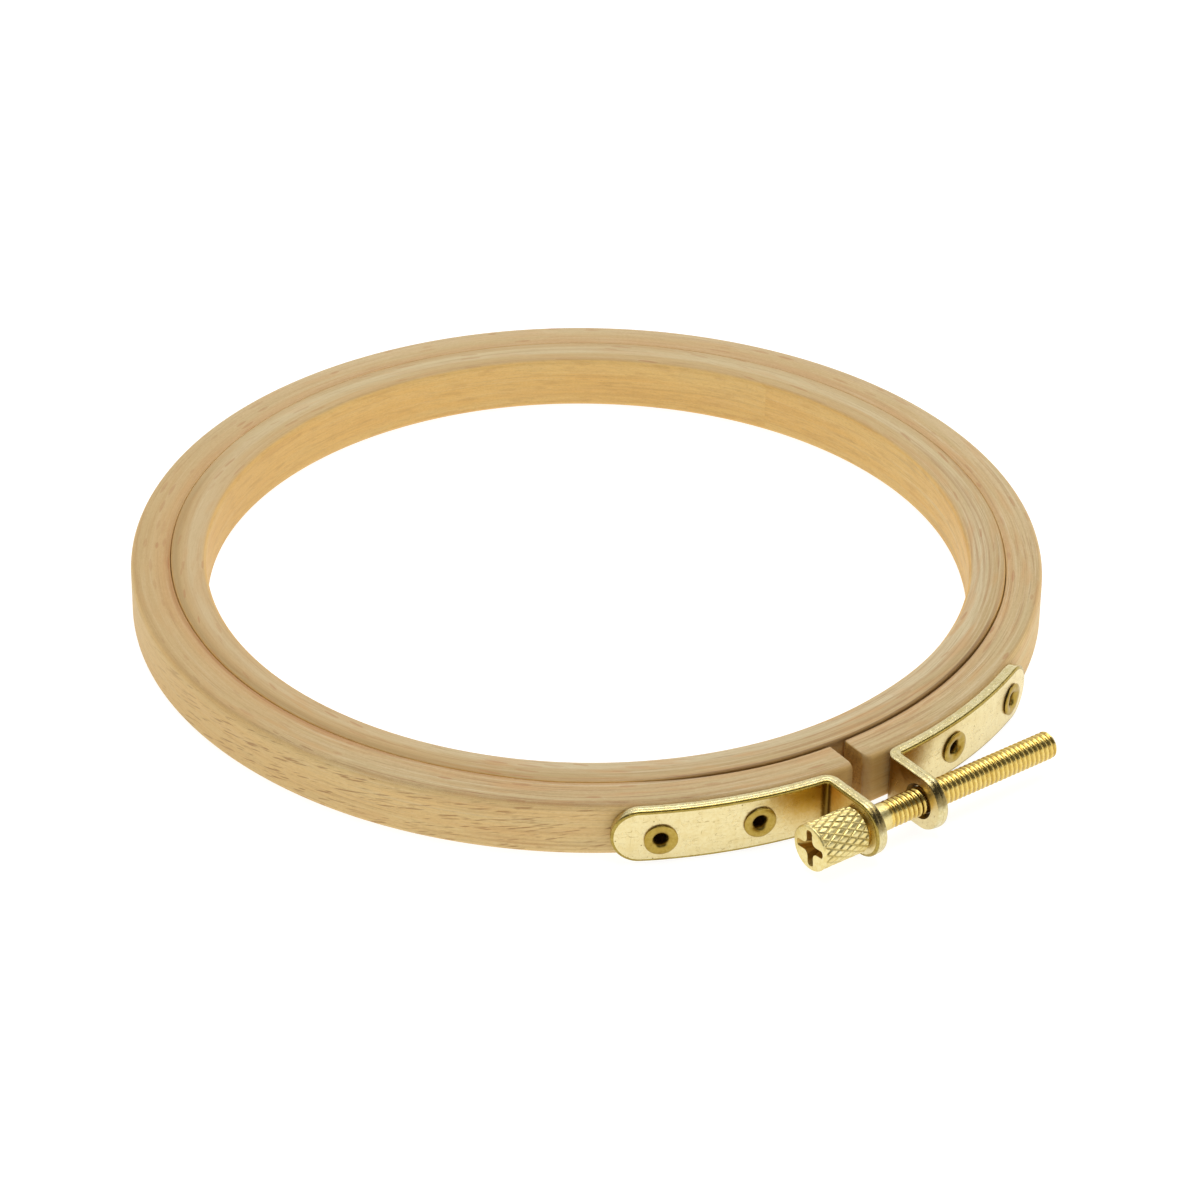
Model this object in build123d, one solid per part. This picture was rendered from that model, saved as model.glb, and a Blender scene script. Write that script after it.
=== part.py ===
from build123d import *
import math
import os

os.makedirs("parts", exist_ok=True)

# Embroidery hoop, millimetres.
# Frame: origin at the centre of the hoop, half-way up its height. +Z runs up
# the hoop's own axis, -Y points out through the saw cut to the clamp screw,
# +X points from the screw's head to its tip.

# ---- driving dimensions -------------------------------------------------
OUTER_R = 64.75        # outer hoop, outside radius
OUTER_BORE_R = 59.5    # outer hoop, inside radius
INNER_R = 59.2         # inner hoop, outside radius (0.3 left for the cloth)
WINDOW_R = 54.0        # inner hoop, inside radius: the working window
HOOP_H = 8.0           # height of both wooden hoops
EASE_RIM = 0.9         # rounding along the outer hoop's outside edges
EASE_SEAT = 0.3        # rounding along the edges where the hoops meet
EASE_WINDOW = 0.8      # rounding along the window's edges
SAW_CUT = 2.5          # width of the cut through the outer hoop
SEAM_X = 0.9           # back of the outer hoop, where it flexes as it opens

STRIP_T = 1.7          # brass strip, thickness
STRIP_W = 8.0          # brass strip, width, the same as the hoop's height
LUG_IN = 4.4           # gap side of each lug, from the cut's centre, along the screw
BEND_R_OUT = 2.1       # outside radius of the bend into the lug
BEND_R_IN = 0.4        # inside radius of the same bend
FAR_DEG = 28.0         # centre of the strip's round far end, from the cut
# each rivet, as (degrees from the cut, height above the strip's middle): they
# are set by eye on the real hoop, so the four differ a little
RIVETS = {-1: ((14.0, 0.1), (25.7, -0.5)), 1: ((14.2, 0.0), (27.1, -0.2))}

SCREW_SKEW = 2.7       # degrees that the screw runs off the tangent, in plan
SCREW_Y = -72.25       # where the screw's axis crosses the X = 0 plane
LUG_TIP = 0.35         # centre of the lug's round end, beyond the screw's axis
SCREW_R = 1.95         # 5/32 inch thread, over the crests
SCREW_TIP = 27.6       # tip, from the cut's centre, along the screw
TIP_BEVEL = 0.45
HEAD_R = 3.3           # knurled head
HEAD_L = 8.1
HEAD_BEVEL = 0.5       # round the face
HEAD_BACK_BEVEL = 0.4  # round the end that bears on the lug
RECESS_SPAN = 5.3      # cross recess in the head's face
RECESS_ARM = 1.1
RECESS_DEPTH = 2.4
RECESS_TURN = 6.0      # degrees that the recess stands off upright
CLEAR_HOLE_R = 2.15    # plain hole in the head-side lug
TAPPED_HOLE_R = 2.05   # threaded hole in the other lug, as a plain bore

RIVET_R = 1.25         # rivet shank
RIVET_FLANGE_R = 2.3   # rolled outer end
RIVET_FLANGE_T = 0.45
RIVET_HOLLOW_R = 0.95
RIVET_HOLLOW_L = 3.5
RIVET_HEAD_R = 2.3     # flat head, sunk into the outer hoop's inside wall
RIVET_HEAD_T = 0.5
RIVET_SINK = 0.15      # how far the flat head sits below the wall

HALF_H = HOOP_H / 2
STRIP_R = OUTER_R + STRIP_T
SIN = math.sin(math.radians(SCREW_SKEW))
COS = math.cos(math.radians(SCREW_SKEW))
LUG_OUT = LUG_IN + STRIP_T


def at(along, out):
    """Plan position: along the screw's axis, and outwards across it."""
    return (COS * along + SIN * out, SCREW_Y + SIN * along - COS * out)


def meets_circle(along, radius):
    """How far out a line square to the screw's axis crosses a circle."""
    ax, ay = at(along, 0.0)
    dot = ax * SIN - ay * COS
    return -dot + math.sqrt(radius * radius - (ax * ax + ay * ay - dot * dot))


def angle_of(p):
    return math.degrees(math.atan2(p[1], p[0]))


def plan_angle(side, degrees):
    """Angle in plan of a place that many degrees from the saw cut."""
    return -90.0 + side * degrees


def radial(angle):
    """A plane at the hoop's centre whose normal points out at this angle."""
    a = math.radians(angle)
    return Plane(origin=(0, 0, 0), x_dir=(0, 0, 1), z_dir=(math.cos(a), math.sin(a), 0))


def screw_plane(along=0.0, out=0.0):
    """A plane across the screw's axis, its normal along +axis."""
    x, y = at(along, out)
    return Plane(origin=(x, y, 0), x_dir=(0, 0, 1), z_dir=(COS, SIN, 0))


# ---- wooden hoops ---------------------------------------------------------
def hoop(r_in, r_out, ease_in, ease_out):
    """A bent strip of wood with eased edges, as a full ring."""
    c = 1 - math.sqrt(0.5)
    h = HALF_H
    outline = [
        Line((r_in + ease_in, -h), (r_out - ease_out, -h)),
        ThreePointArc((r_out - ease_out, -h), (r_out - c * ease_out, -h + c * ease_out), (r_out, -h + ease_out)),
        Line((r_out, -h + ease_out), (r_out, h - ease_out)),
        ThreePointArc((r_out, h - ease_out), (r_out - c * ease_out, h - c * ease_out), (r_out - ease_out, h)),
        Line((r_out - ease_out, h), (r_in + ease_in, h)),
        ThreePointArc((r_in + ease_in, h), (r_in + c * ease_in, h - c * ease_in), (r_in, h - ease_in)),
        Line((r_in, h - ease_in), (r_in, -h + ease_in)),
        ThreePointArc((r_in, -h + ease_in), (r_in + c * ease_in, -h + c * ease_in), (r_in + ease_in, -h)),
    ]
    return revolve(Plane.XZ * make_face(Wire(outline)), Axis.Z)


def block(x0, x1, y0, y1):
    return Pos((x0 + x1) / 2, (y0 + y1) / 2, 0) * Box(x1 - x0, y1 - y0, 4 * HOOP_H)


inner_hoop = hoop(WINDOW_R, INNER_R, EASE_WINDOW, EASE_SEAT)

# The outer hoop is one strip of wood, sawn through at the front. It flexes at
# the back to open, so it is held here as two halves that meet at the back.
ring = hoop(OUTER_BORE_R, OUTER_R, EASE_SEAT, EASE_RIM)
outer_hoop_left = ring - block(SEAM_X, 90, 0, 90) - block(-SAW_CUT / 2, 90, -90, 0)
outer_hoop_right = ring - block(-90, SEAM_X, 0, 90) - block(-90, SAW_CUT / 2, -90, 0)


# ---- rivets ---------------------------------------------------------------
HEAD_SEAT = OUTER_BORE_R + RIVET_SINK + RIVET_HEAD_T   # under the flat head
HEAD_FACE = OUTER_BORE_R + RIVET_SINK


def rivet(side, place):
    """Semi-tubular rivet: flat head inside the wood, rolled hollow end on the brass."""
    degrees, height = place
    z0, z1 = STRIP_R, STRIP_R + RIVET_FLANGE_T
    lip = 0.18
    p = [
        (0, HEAD_FACE), (RIVET_HEAD_R, HEAD_FACE), (RIVET_HEAD_R, HEAD_SEAT), (RIVET_R, HEAD_SEAT),
        (RIVET_R, z0), (RIVET_FLANGE_R, z0), (RIVET_FLANGE_R, z1 - lip), (RIVET_FLANGE_R - lip, z1),
        (RIVET_HOLLOW_R + lip, z1), (RIVET_HOLLOW_R, z1 - lip), (RIVET_HOLLOW_R, z1 - RIVET_HOLLOW_L),
        (0, z1 - RIVET_HOLLOW_L - 0.5),
    ]
    turned = revolve(Plane.XZ * make_face(Polyline(*p, close=True)), Axis.Z)
    return radial(plan_angle(side, degrees)) * (Pos(height, 0, 0) * turned)


def rivet_seat(side, place):
    """Hole for the shank and counterbore for the flat head, through wood and brass."""
    degrees, height = place
    shank = Pos(0, 0, (HEAD_SEAT + STRIP_R + 2) / 2) * Cylinder(RIVET_R, STRIP_R + 2 - HEAD_SEAT)
    sink = Pos(0, 0, HEAD_SEAT - 2) * Cylinder(RIVET_HEAD_R + 0.05, 4)
    return radial(plan_angle(side, degrees)) * (Pos(height, 0, 0) * (shank + sink))


# ---- brass brackets -------------------------------------------------------
def bracket(side, hole_r):
    """Strip bent to the hoop, turned out at the cut into a lug for the screw."""
    u_end = LUG_TIP + STRIP_W / 2
    gap, far = side * LUG_IN, side * LUG_OUT
    a_far = plan_angle(side, FAR_DEG + 4.0)
    p2 = at(gap, meets_circle(gap, OUTER_R))
    p3 = at(gap, u_end)
    p4 = at(far, u_end)
    p5 = at(far, meets_circle(far, STRIP_R))
    a2, a5 = angle_of(p2), angle_of(p5)
    p1 = (OUTER_R * math.cos(math.radians(a_far)), OUTER_R * math.sin(math.radians(a_far)))
    p6 = (STRIP_R * math.cos(math.radians(a_far)), STRIP_R * math.sin(math.radians(a_far)))

    def on(r, a):
        return (r * math.cos(math.radians(a)), r * math.sin(math.radians(a)))

    wire = Wire([
        ThreePointArc(p1, on(OUTER_R, (a_far + a2) / 2), p2),
        Line(p2, p3), Line(p3, p4), Line(p4, p5),
        ThreePointArc(p5, on(STRIP_R, (a_far + a5) / 2), p6),
        Line(p6, p1),
    ])
    face = make_face(wire)

    def corner(p):
        return face.vertices().sort_by_distance((p[0], p[1], 0))[0]

    face = fillet(corner(p2), BEND_R_OUT)
    face = fillet(face.vertices().sort_by_distance((p5[0], p5[1], 0))[0], BEND_R_IN)
    solid = Pos(0, 0, -STRIP_W / 2) * extrude(face, STRIP_W, dir=(0, 0, 1))

    # full-round far end, square to the strip's face
    a0, a1 = plan_angle(side, FAR_DEG), plan_angle(side, FAR_DEG + 6.0)
    beyond = make_face(Polyline(on(50, a0), on(80, a0), on(80, a1), on(50, a1), close=True))
    beyond = Pos(0, 0, -STRIP_W) * extrude(beyond, 2 * STRIP_W, dir=(0, 0, 1))
    round_end = radial(a0) * (Pos(0, 0, STRIP_R) * Cylinder(STRIP_W / 2, 20))
    solid = solid - (beyond - round_end)

    # full-round lug end
    mid = side * (LUG_IN + LUG_OUT) / 2
    x, y = at(mid, LUG_TIP + 10)
    past = Location((x, y, 0), (0, 0, SCREW_SKEW)) * Box(4 * STRIP_T, 20, 2 * STRIP_W)
    round_tip = screw_plane(mid, LUG_TIP) * Cylinder(STRIP_W / 2, 6 * STRIP_T)
    solid = solid - (past - round_tip)

    # screw hole and rivet holes
    solid = solid - screw_plane(mid, 0) * Cylinder(hole_r, 6 * STRIP_T)
    for degrees, height in RIVETS[side]:
        solid = solid - radial(plan_angle(side, degrees)) * (Pos(height, 0, STRIP_R) * Cylinder(RIVET_R, 10))
    return solid


head_side_bracket = bracket(-1, CLEAR_HOLE_R)
threaded_bracket = bracket(1, TAPPED_HOLE_R)

for place in RIVETS[-1]:
    outer_hoop_left = outer_hoop_left - rivet_seat(-1, place)
for place in RIVETS[1]:
    outer_hoop_right = outer_hoop_right - rivet_seat(1, place)


# ---- clamp screw ----------------------------------------------------------
def clamp_screw():
    """Thumb screw with a long cylindrical head that has a cross recess in its face."""
    s_head = -LUG_OUT - HEAD_L
    outline = [
        (0, s_head), (HEAD_R - HEAD_BEVEL, s_head), (HEAD_R, s_head + HEAD_BEVEL),
        (HEAD_R, -LUG_OUT - HEAD_BACK_BEVEL), (HEAD_R - HEAD_BACK_BEVEL, -LUG_OUT),
        (SCREW_R, -LUG_OUT), (SCREW_R, SCREW_TIP - TIP_BEVEL),
        (SCREW_R - TIP_BEVEL, SCREW_TIP), (0, SCREW_TIP),
    ]
    body = revolve(Plane.XZ * make_face(Polyline(*outline, close=True)), Axis.Z)
    cross = Rectangle(RECESS_SPAN, RECESS_ARM) + Rectangle(RECESS_ARM, RECESS_SPAN)
    deep = Rectangle(RECESS_SPAN * 0.42, RECESS_ARM * 0.6) + Rectangle(RECESS_ARM * 0.6, RECESS_SPAN * 0.42)
    tool = loft([Pos(0, 0, s_head) * cross.face(), Pos(0, 0, s_head + RECESS_DEPTH) * deep.face()])
    tool = Rot(0, 0, -RECESS_TURN) * tool
    return screw_plane() * (body - tool)


screw = clamp_screw()

# ---- write the pieces -----------------------------------------------------
pieces = {
    "outer_hoop_left": outer_hoop_left,
    "outer_hoop_right": outer_hoop_right,
    "inner_hoop": inner_hoop,
    "head_side_bracket": head_side_bracket,
    "threaded_bracket": threaded_bracket,
    "rivet_head_side_near": rivet(-1, RIVETS[-1][0]),
    "rivet_head_side_far": rivet(-1, RIVETS[-1][1]),
    "rivet_threaded_side_near": rivet(1, RIVETS[1][0]),
    "rivet_threaded_side_far": rivet(1, RIVETS[1][1]),
    "clamp_screw": screw,
}
for name, shape in pieces.items():
    export_step(shape, "parts/" + name + ".step")

print("screw axis point", at(0, 0), "direction", (COS, SIN))
print("lug centre", at(LUG_IN + STRIP_T / 2, 0))
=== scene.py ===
"""Embroidery hoop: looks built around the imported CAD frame. Lengths in the making are millimetres."""
import math

import bmesh
import bpy
import numpy as np
from mathutils import Matrix, Vector

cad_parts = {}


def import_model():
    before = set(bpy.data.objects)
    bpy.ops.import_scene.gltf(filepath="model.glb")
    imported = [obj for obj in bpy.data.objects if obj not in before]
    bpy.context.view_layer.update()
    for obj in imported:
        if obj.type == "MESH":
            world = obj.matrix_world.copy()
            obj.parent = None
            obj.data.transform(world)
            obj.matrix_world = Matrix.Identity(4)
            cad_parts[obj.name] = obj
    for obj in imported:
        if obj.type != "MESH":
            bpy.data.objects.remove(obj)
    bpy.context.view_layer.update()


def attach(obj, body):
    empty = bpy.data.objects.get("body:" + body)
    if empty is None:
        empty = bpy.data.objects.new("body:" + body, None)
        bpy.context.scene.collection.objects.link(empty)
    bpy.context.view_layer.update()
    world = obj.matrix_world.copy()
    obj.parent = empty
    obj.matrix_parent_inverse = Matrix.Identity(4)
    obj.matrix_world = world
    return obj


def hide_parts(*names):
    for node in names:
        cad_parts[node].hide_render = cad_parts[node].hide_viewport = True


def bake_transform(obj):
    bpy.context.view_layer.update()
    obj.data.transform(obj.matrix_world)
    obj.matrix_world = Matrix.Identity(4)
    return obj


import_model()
MM = 0.001

# ---- sizes, as in the CAD model -------------------------------------------
OUTER_R, OUTER_BORE_R = 64.75, 59.5
INNER_R, WINDOW_R = 59.2, 54.0
HALF_H = 4.0
EASE_RIM, EASE_WINDOW = 0.9, 0.8
HALF_CUT = 1.25
STRIP_T, STRIP_W = 1.7, 8.0
STRIP_R = OUTER_R + STRIP_T
LUG_IN, LUG_OUT = 4.4, 6.1
BEND_IN = 0.4
FAR_DEG = 28.0
RIVETS = {-1: ((14.0, 0.1), (25.7, -0.5)), 1: ((14.2, 0.0), (27.1, -0.2))}  # degrees from the cut, height
SCREW_Y = -72.25
SIN, COS = math.sin(math.radians(2.7)), math.cos(math.radians(2.7))
LUG_TIP = 0.35
HEAD_R, HEAD_FACE, HEAD_BACK = 3.3, -14.2, -6.1
SCREW_R, SCREW_TIP = 1.95, 27.6
PITCH = 25.4 / 32

AXIS = np.array([COS, SIN, 0.0])
OUT = np.array([SIN, -COS, 0.0])
UP = np.array([0.0, 0.0, 1.0])
SCREW_O = np.array([0.0, SCREW_Y, 0.0])


def lin(r, g, b):
    """sRGB 0-255 to linear RGBA."""
    def f(c):
        c /= 255.0
        return c / 12.92 if c <= 0.04045 else ((c + 0.055) / 1.055) ** 2.4
    return (f(r), f(g), f(b), 1.0)


def smooth(a, b, x):
    """0 at a, 1 at b, eased; works either way round and on arrays."""
    t = np.clip((np.asarray(x, float) - a) / (b - a), 0.0, 1.0)
    return t * t * (3 - 2 * t)


def ripple(t, seed, waves):
    """A sum of a few slow sines of t (radians), repeatable, about -1 to 1."""
    rng = np.random.default_rng(seed)
    out = np.zeros_like(np.asarray(t, float))
    for n in waves:
        out = out + rng.uniform(0.5, 1.0) * np.sin(n * t + rng.uniform(0, 6.283))
    return out / max(1.0, 0.75 * len(waves))


# ---- mesh helpers -----------------------------------------------------------
def new_object(name, verts, faces, materials, face_mats=None, sharp_deg=38.0):
    """A mesh object from millimetre points, smooth-shaded but for edges sharper than sharp_deg."""
    me = bpy.data.meshes.new(name)
    me.from_pydata((np.asarray(verts, float) * MM).tolist(), [], [tuple(f) for f in faces])
    me.validate(clean_customdata=False)
    ob = bpy.data.objects.new(name, me)
    bpy.context.scene.collection.objects.link(ob)
    for m in materials:
        me.materials.append(m)
    if face_mats is not None and len(me.polygons) == len(face_mats):
        me.polygons.foreach_set("material_index", np.asarray(face_mats, np.int32))
    finish_shading(ob, sharp_deg)
    return ob


def finish_shading(ob, sharp_deg=38.0):
    bm = bmesh.new()
    bm.from_mesh(ob.data)
    bmesh.ops.recalc_face_normals(bm, faces=bm.faces)
    limit = math.radians(sharp_deg)
    for f in bm.faces:
        f.smooth = True
    for e in bm.edges:
        e.smooth = not (len(e.link_faces) == 2 and e.calc_face_angle(0.0) > limit)
    bm.to_mesh(ob.data)
    bm.free()
    ob.data.update()


def store_rest(ob):
    """Keeps each point's place at rest, in millimetres, for the materials."""
    me = ob.data
    co = np.zeros(len(me.vertices) * 3, np.float32)
    me.vertices.foreach_get("co", co)
    a = me.attributes.get("rest") or me.attributes.new("rest", "FLOAT_VECTOR", "POINT")
    a.data.foreach_set("vector", co * 1000.0)


def rounded_profile(r0, r1, ease0, ease1, half_h, wall_steps=14, top_steps=9, arc_steps=7):
    """Cross-section of a hoop as (r, z, nz) points, going round once from the middle of the outside wall."""
    pts = []

    def arc(cr, cz, ease, a0):
        for k in range(arc_steps + 1):
            a = math.radians(a0 + 90.0 * k / arc_steps)
            pts.append((cr + ease * math.cos(a), cz + ease * math.sin(a)))

    def line(p, q, n):
        for k in range(1, n):
            pts.append((p[0] + (q[0] - p[0]) * k / n, p[1] + (q[1] - p[1]) * k / n))

    arc(r1 - ease1, half_h - ease1, ease1, 0)
    line((r1 - ease1, half_h), (r0 + ease0, half_h), top_steps)
    arc(r0 + ease0, half_h - ease0, ease0, 90)
    line((r0, half_h - ease0), (r0, -half_h + ease0), wall_steps)
    arc(r0 + ease0, -half_h + ease0, ease0, 180)
    line((r0 + ease0, -half_h), (r1 - ease1, -half_h), top_steps)
    arc(r1 - ease1, -half_h + ease1, ease1, 270)
    line((r1, -half_h + ease1), (r1, half_h - ease1), wall_steps)
    return np.array(pts)


def grain_attribute(ob, seam_deg, skew_deg=0.0, r0=0.0, r1=1.0):
    """Per face corner: (distance along the bent strip, radius, height) in mm, and how far the surface faces up or down.
    The distance starts at the strip's own end, so the pattern breaks only there."""
    me = ob.data
    n = len(me.vertices)
    co = np.zeros(n * 3, np.float32)
    me.vertices.foreach_get("co", co)
    co = co.reshape(-1, 3).astype(float) * 1000.0
    r = np.hypot(co[:, 0], co[:, 1])
    seam = np.radians(seam_deg + skew_deg * (r - r0) / (r1 - r0))
    turn = np.mod(np.arctan2(co[:, 1], co[:, 0]) - seam, 2 * math.pi)
    loops = np.zeros(len(me.loops), np.int32)
    me.loops.foreach_get("vertex_index", loops)
    starts = np.zeros(len(me.polygons), np.int32)
    totals = np.zeros(len(me.polygons), np.int32)
    me.polygons.foreach_get("loop_start", starts)
    me.polygons.foreach_get("loop_total", totals)
    lt = turn[loops]
    face_of = np.repeat(np.arange(len(starts)), totals)
    middle = np.zeros(len(starts))
    # a face's corners stay together: those past the end go with the face's other corners
    cs, sn = np.cos(lt), np.sin(lt)
    mc = np.bincount(face_of, cs, len(starts))
    ms = np.bincount(face_of, sn, len(starts))
    middle = np.mod(np.arctan2(ms, mc), 2 * math.pi)
    near = middle[face_of] + np.mod(lt - middle[face_of] + math.pi, 2 * math.pi) - math.pi
    vec = np.stack([near * 60.0, r[loops], co[loops, 2]], -1).astype(np.float32)
    a = me.attributes.new("grain", "FLOAT_VECTOR", "CORNER")
    a.data.foreach_set("vector", vec.ravel())
    nor = np.zeros(n * 3, np.float32)
    me.vertex_normals.foreach_get("vector", nor)
    up = np.abs(nor.reshape(-1, 3)[:, 2])
    b = me.attributes.new("topness", "FLOAT", "POINT")
    b.data.foreach_set("value", smooth(0.62, 0.97, up).astype(np.float32))


# ---- node helpers -----------------------------------------------------------
class Nodes:
    """Short names for building a material."""

    def __init__(self, name):
        self.mat = bpy.data.materials.new(name)
        self.mat.use_nodes = True
        self.nt = self.mat.node_tree
        self.bsdf = self.nt.nodes["Principled BSDF"]

    def add(self, kind, **props):
        n = self.nt.nodes.new(kind)
        for k, v in props.items():
            setattr(n, k, v)
        return n

    def put(self, socket, value):
        if isinstance(value, bpy.types.NodeSocket):
            self.nt.links.new(value, socket)
        else:
            socket.default_value = value

    def attr(self, name, out="Vector"):
        n = self.add("ShaderNodeAttribute", attribute_name=name)
        return n.outputs[out]

    def split(self, vec):
        n = self.add("ShaderNodeSeparateXYZ")
        self.put(n.inputs[0], vec)
        return n.outputs[0], n.outputs[1], n.outputs[2]

    def join(self, x, y, z):
        n = self.add("ShaderNodeCombineXYZ")
        for s, v in zip(n.inputs, (x, y, z)):
            self.put(s, v)
        return n.outputs[0]

    def math(self, op, a, b=None, c=None, clamp=False):
        n = self.add("ShaderNodeMath", operation=op, use_clamp=clamp)
        self.put(n.inputs[0], a)
        if b is not None:
            self.put(n.inputs[1], b)
        if c is not None:
            self.put(n.inputs[2], c)
        return n.outputs[0]

    def noise(self, vec, scale=1.0, detail=2.0, rough=0.5, dims="3D", w=None, distortion=0.0):
        n = self.add("ShaderNodeTexNoise", noise_dimensions=dims)
        if vec is not None and "Vector" in n.inputs:
            self.put(n.inputs["Vector"], vec)
        if w is not None:
            self.put(n.inputs["W"], w)
        n.inputs["Scale"].default_value = scale
        n.inputs["Detail"].default_value = detail
        n.inputs["Roughness"].default_value = rough
        n.inputs["Distortion"].default_value = distortion
        return n.outputs["Fac"]

    def cells(self, vec, dims="2D", scale=1.0, feature="F1", randomness=1.0):
        n = self.add("ShaderNodeTexVoronoi", voronoi_dimensions=dims, feature=feature)
        self.put(n.inputs["Vector"], vec)
        n.inputs["Scale"].default_value = scale
        n.inputs["Randomness"].default_value = randomness
        if feature == "DISTANCE_TO_EDGE":
            return n.outputs["Distance"], None
        return n.outputs["Distance"], n.outputs["Color"]

    def flecks(self, u, v, wide, high, share, half_len, half_high, seed=0.0, lean=0.0):
        """Lens-shaped marks scattered over (u, v) in mm: one to a cell of wide x high, kept in a share of the cells.
        Returns how much of a mark is here and three random numbers of its own."""
        n = self.add("ShaderNodeTexVoronoi", voronoi_dimensions="2D", feature="F1")
        at = self.join(self.math("MULTIPLY_ADD", u, 1.0 / wide, seed), self.math("MULTIPLY_ADD", v, 1.0 / high, seed * 0.7), 0.0)
        self.put(n.inputs["Vector"], at)
        n.inputs["Scale"].default_value = 1.0
        n.inputs["Randomness"].default_value = 0.9
        ax, ay, _ = self.split(at)
        px, py, _ = self.split(n.outputs["Position"])
        r1, r2, r3 = self.split(n.outputs["Color"])
        du = self.math("MULTIPLY", self.math("SUBTRACT", ax, px), wide)
        dv = self.math("MULTIPLY", self.math("SUBTRACT", ay, py), high)
        dv = self.math("MULTIPLY_ADD", du, -lean, dv)
        length = self.math("MULTIPLY_ADD", r2, half_len, half_len * 0.5)
        x = self.math("DIVIDE", du, length)
        body = self.math("SUBTRACT", 1.0, self.math("MULTIPLY", x, x), clamp=True)
        y = self.math("DIVIDE", self.math("ABSOLUTE", dv), self.math("MULTIPLY_ADD", body, half_high, 1e-4))
        mark = self.math("MULTIPLY", self.span(y, 1.25, 0.55), self.span(body, 0.0, 0.25))
        return self.math("MULTIPLY", mark, self.math("LESS_THAN", r1, share)), r1, r2, r3

    def span(self, v, a, b, c=0.0, d=1.0, eased=True):
        n = self.add("ShaderNodeMapRange", interpolation_type="SMOOTHSTEP" if eased else "LINEAR")
        self.put(n.inputs["Value"], v)
        for key, val in (("From Min", a), ("From Max", b), ("To Min", c), ("To Max", d)):
            self.put(n.inputs[key], val)
        return n.outputs["Result"]

    def mix(self, fac, a, b, blend="MIX"):
        n = self.add("ShaderNodeMix", data_type="RGBA", blend_type=blend)
        self.put(n.inputs["Factor"], fac)
        self.put(n.inputs[6], a)
        self.put(n.inputs[7], b)
        return n.outputs[2]

    def ramp(self, fac, stops, interpolation="EASE"):
        n = self.add("ShaderNodeValToRGB")
        self.put(n.inputs[0], fac)
        cr = n.color_ramp
        cr.interpolation = interpolation
        while len(cr.elements) > 1:
            cr.elements.remove(cr.elements[-1])
        cr.elements[0].position, cr.elements[0].color = stops[0]
        for pos, col in stops[1:]:
            e = cr.elements.new(pos)
            e.color = col
        return n.outputs[0]

    def bump(self, height, strength, distance_mm, normal=None):
        n = self.add("ShaderNodeBump")
        n.inputs["Strength"].default_value = strength
        n.inputs["Distance"].default_value = distance_mm * MM
        self.put(n.inputs["Height"], height)
        if normal is not None:
            self.put(n.inputs["Normal"], normal)
        return n.outputs["Normal"]


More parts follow.
